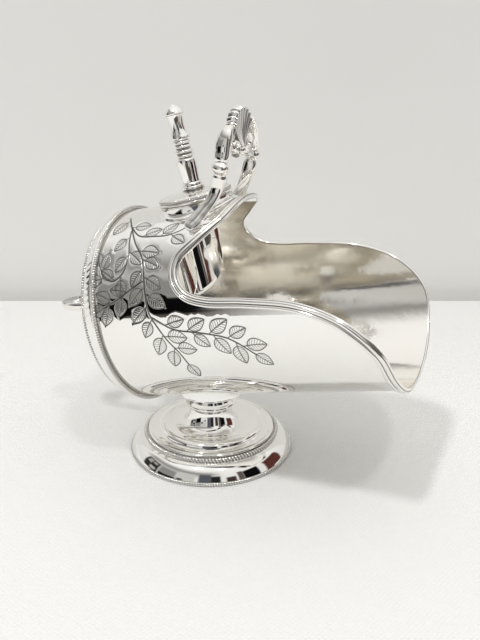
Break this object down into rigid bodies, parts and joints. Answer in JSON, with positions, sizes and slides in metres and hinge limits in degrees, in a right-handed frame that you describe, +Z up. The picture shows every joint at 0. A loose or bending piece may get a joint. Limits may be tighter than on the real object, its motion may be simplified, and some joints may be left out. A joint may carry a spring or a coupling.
{
  "type": "sugar scuttle",
  "caption": "Footed sugar scuttle: tilted open-mouthed barrel on a turned foot, with fixed shell handles and a lift-out scoop standing in a round socket on top.",
  "frame": {"origin": "on the table, at the middle of the footprint of the whole object", "axes": "+X from the rear handle towards the open mouth, +Y across to the scuttle's left, +Z up"},
  "size_m": [0.1812, 0.0938, 0.1666],
  "materials": {
    "engraved_silver": "mirror-polished silver plate with engraved leaf sprays outside, soft satin inside",
    "polished_silver": "mirror-polished silver plate",
    "cast_silver": "polished cast silver plate, darker in its recesses",
    "milled_silver": "polished reeded or milled wire"
  },
  "bodies": {
    "scuttle": {"barrel": "engraved_silver", "mouth_rim": "milled_silver", "back_wire_front": "milled_silver", "back_wire_rear": "milled_silver", "back_band": "polished_silver", "back_plate": "polished_silver", "scoop_socket": "polished_silver", "foot_collar": "polished_silver", "foot_knop": "polished_silver", "foot_stem": "polished_silver", "foot_flare": "polished_silver", "handle_arm_left": "cast_silver", "handle_arm_right": "cast_silver", "handle_crest": "cast_silver", "rear_handle_arm_left": "cast_silver", "rear_handle_arm_right": "cast_silver", "rear_handle_crest": "cast_silver", "foot_shoulder_wire": "milled_silver", "foot_edge_wire": "milled_silver"},
    "scoop": {"scoop_bowl": "polished_silver", "scoop_cap": "polished_silver", "scoop_cap_wire": "milled_silver", "scoop_handle_shank": "polished_silver", "scoop_handle_knops": "polished_silver", "scoop_handle_finial": "polished_silver"}
  },
  "joints": [
    {"name": "scoop_lift", "type": "slide", "parent": "scuttle", "child": "scoop", "axis": [-0.2554, 0, 0.9668], "range_m": [0, 0.055]}
  ]
}
